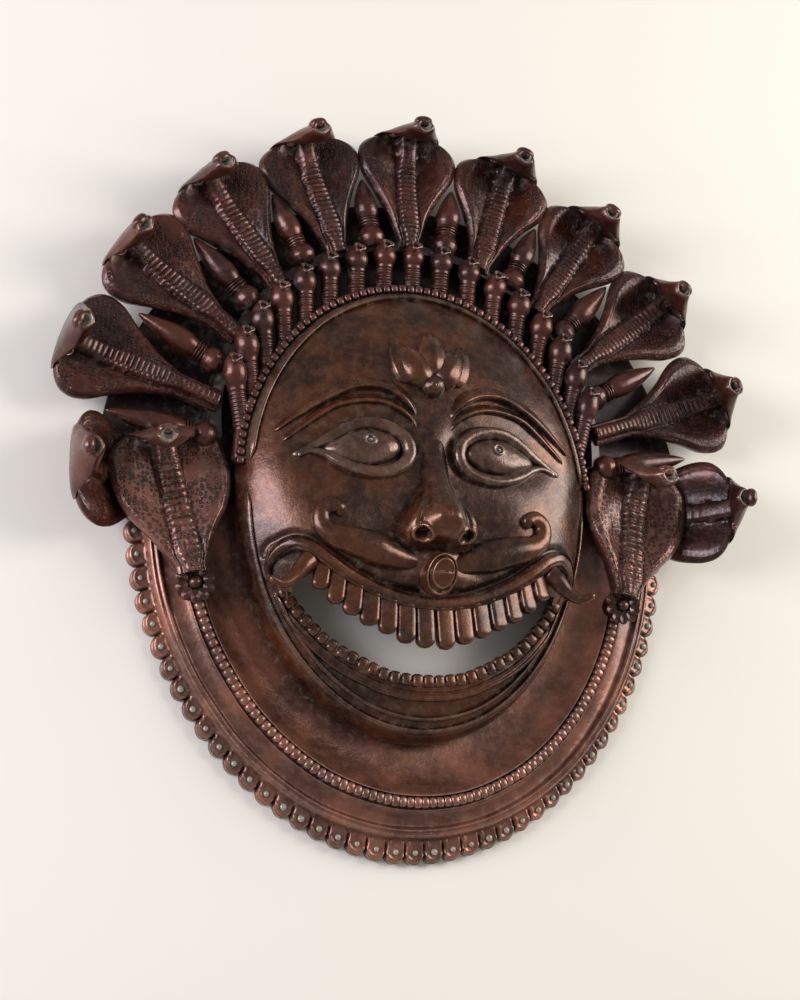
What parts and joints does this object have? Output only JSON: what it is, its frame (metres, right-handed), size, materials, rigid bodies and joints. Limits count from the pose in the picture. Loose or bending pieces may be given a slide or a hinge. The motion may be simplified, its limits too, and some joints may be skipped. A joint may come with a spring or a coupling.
{
  "type": "bronze deity mask",
  "caption": "Hollow cast bronze deity mask with a fanged grin, ringed by hooded cobras and a petal-edged collar, lying on its back.",
  "frame": {"origin": "centre of the mask's footprint, on the surface that it lies on", "axes": "+X across the mask to the right as seen from the front, +Y from the chin to the crown, +Z out of the face"},
  "size_m": [0.4008, 0.417, 0.075],
  "materials": {
    "patinated_bronze": "dark reddish-brown patina, rubbed to a soft shine on the high places, with pale green verdigris in the recesses"
  },
  "bodies": {
    "root": {"mask": "patinated_bronze"}
  },
  "joints": []
}
